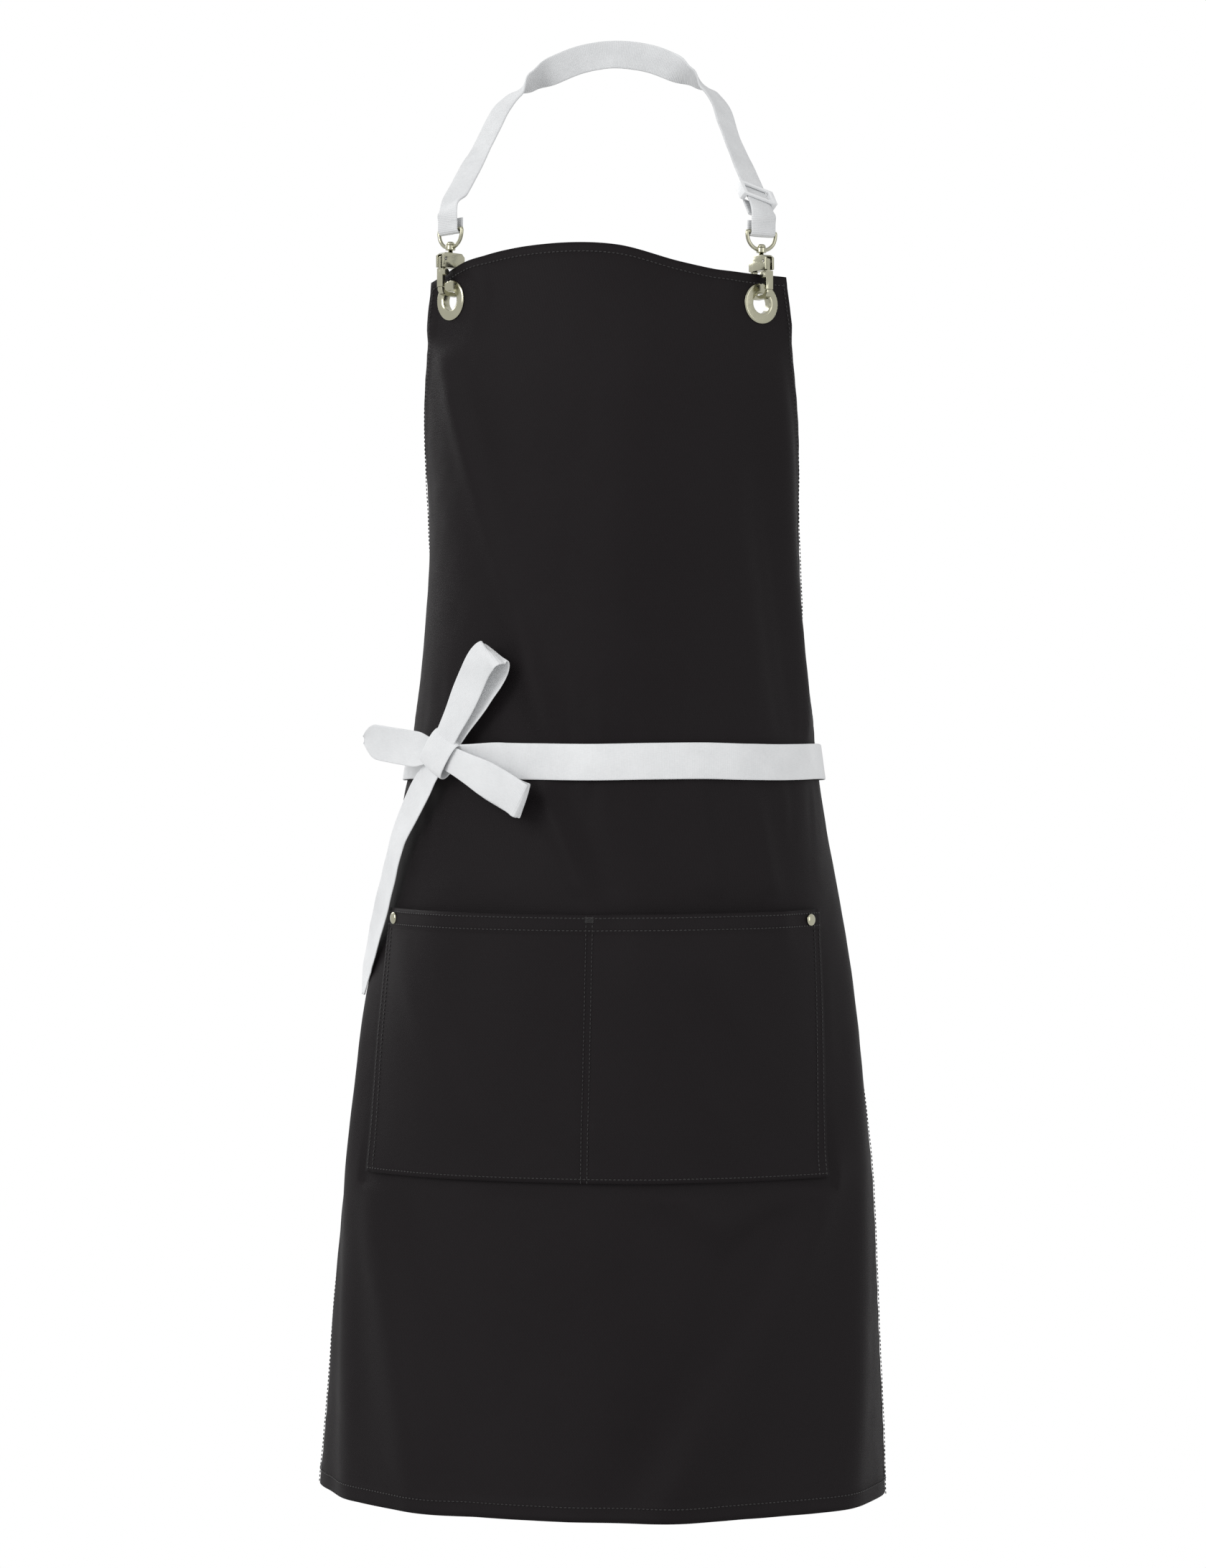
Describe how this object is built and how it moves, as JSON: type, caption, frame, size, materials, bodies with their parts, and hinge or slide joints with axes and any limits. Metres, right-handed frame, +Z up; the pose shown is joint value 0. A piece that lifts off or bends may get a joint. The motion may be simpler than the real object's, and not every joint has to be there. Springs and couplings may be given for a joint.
{
  "type": "artist bib apron",
  "caption": "Dark bib apron with a divided front pocket, clip-on adjustable neck strap and waist ties in a bow.",
  "frame": {"origin": "inner face of the neck strap where it rests on the back of the wearer's neck", "axes": "+Z up, -Y to the front of the wearer, +X to the right as seen from the front"},
  "size_m": [0.4099, 0.2586, 1.047],
  "materials": {
    "cloth": "matt tightly woven twill",
    "webbing": "white woven webbing",
    "tie_tape": "white woven tape",
    "white_plastic": "moulded, satin",
    "nickel": "polished warm nickel plate"
  },
  "bodies": {
    "strap": {"neck_strap": "webbing"},
    "adjuster": {"tri_glide": "white_plastic", "strap_return": "webbing"},
    "hanger": {"strap_end_left": "webbing", "strap_end_right": "webbing", "d_ring_left": "nickel", "d_ring_right": "nickel"},
    "hook_left": {"hook_body_left": "nickel", "gate_pin_left": "nickel", "gate_spring_left": "nickel", "swivel_post_left": "nickel"},
    "hook_right": {"hook_body_right": "nickel", "gate_pin_right": "nickel", "gate_spring_right": "nickel", "swivel_post_right": "nickel"},
    "gate_left": {"gate_lever_left": "nickel"},
    "gate_right": {"gate_lever_right": "nickel"},
    "apron": {"apron_panel": "cloth", "top_facing": "cloth", "pocket_panel": "cloth", "grommet_left": "nickel", "grommet_right": "nickel", "grommet_washer_left": "nickel", "grommet_washer_right": "nickel", "pocket_rivet_cap_left": "nickel", "pocket_rivet_cap_right": "nickel", "pocket_rivet_back_left": "nickel", "pocket_rivet_back_right": "nickel", "tie_left_band": "tie_tape", "tie_right_band": "tie_tape", "bow_knot": "tie_tape", "bow_loop_upper": "tie_tape", "bow_loop_lower": "tie_tape", "tie_tail_short": "tie_tape"},
    "tail": {"tie_tail_long": "tie_tape"}
  },
  "joints": [
    {"name": "adjuster_slide", "type": "slide", "parent": "strap", "child": "adjuster", "axis": [-0.3077, 0.635, 0.7086], "range_m": [0, 0.012]},
    {"name": "hanger_swing", "type": "hinge", "parent": "strap", "child": "hanger", "pos_m": [-0.10442, -0.09491, -0.1272], "axis": [-0.9997, 0.0021, 0.0256], "range_deg": [-2, 20]},
    {"name": "hook_swivel_left", "type": "hinge", "parent": "hanger", "child": "hook_left", "pos_m": [-0.10442, -0.09491, -0.15579], "axis": [0, 0, 1], "range_deg": [-6, 6]},
    {"name": "hook_swivel_right", "type": "hinge", "parent": "hanger", "child": "hook_right", "pos_m": [0.11461, -0.09537, -0.16138], "axis": [0, 0, 1], "range_deg": [-6, 6]},
    {"name": "gate_open_left", "type": "hinge", "parent": "hook_left", "child": "gate_left", "pos_m": [-0.10922, -0.10081, -0.16039], "axis": [-0.7753, 0.6316, 0], "range_deg": [-14, 0], "stiffness_Nm_per_rad": 0.01, "springref_deg": 11.46},
    {"name": "gate_open_right", "type": "hinge", "parent": "hook_right", "child": "gate_right", "pos_m": [0.11943, -0.10125, -0.16598], "axis": [-0.7728, -0.6346, 0], "range_deg": [-14, 0], "stiffness_Nm_per_rad": 0.01, "springref_deg": 11.46},
    {"name": "apron_rock", "type": "hinge", "parent": "hanger", "child": "apron", "pos_m": [-0.1041, -0.09453, -0.18319], "axis": [-0.9997, 0.0021, 0.0256], "range_deg": [-1.5, 1.5]},
    {"name": "tail_lift", "type": "hinge", "parent": "apron", "child": "tail", "pos_m": [-0.118, -0.094, -0.523], "axis": [-0.8486, 0.5291, 0], "range_deg": [0, 40]}
  ]
}
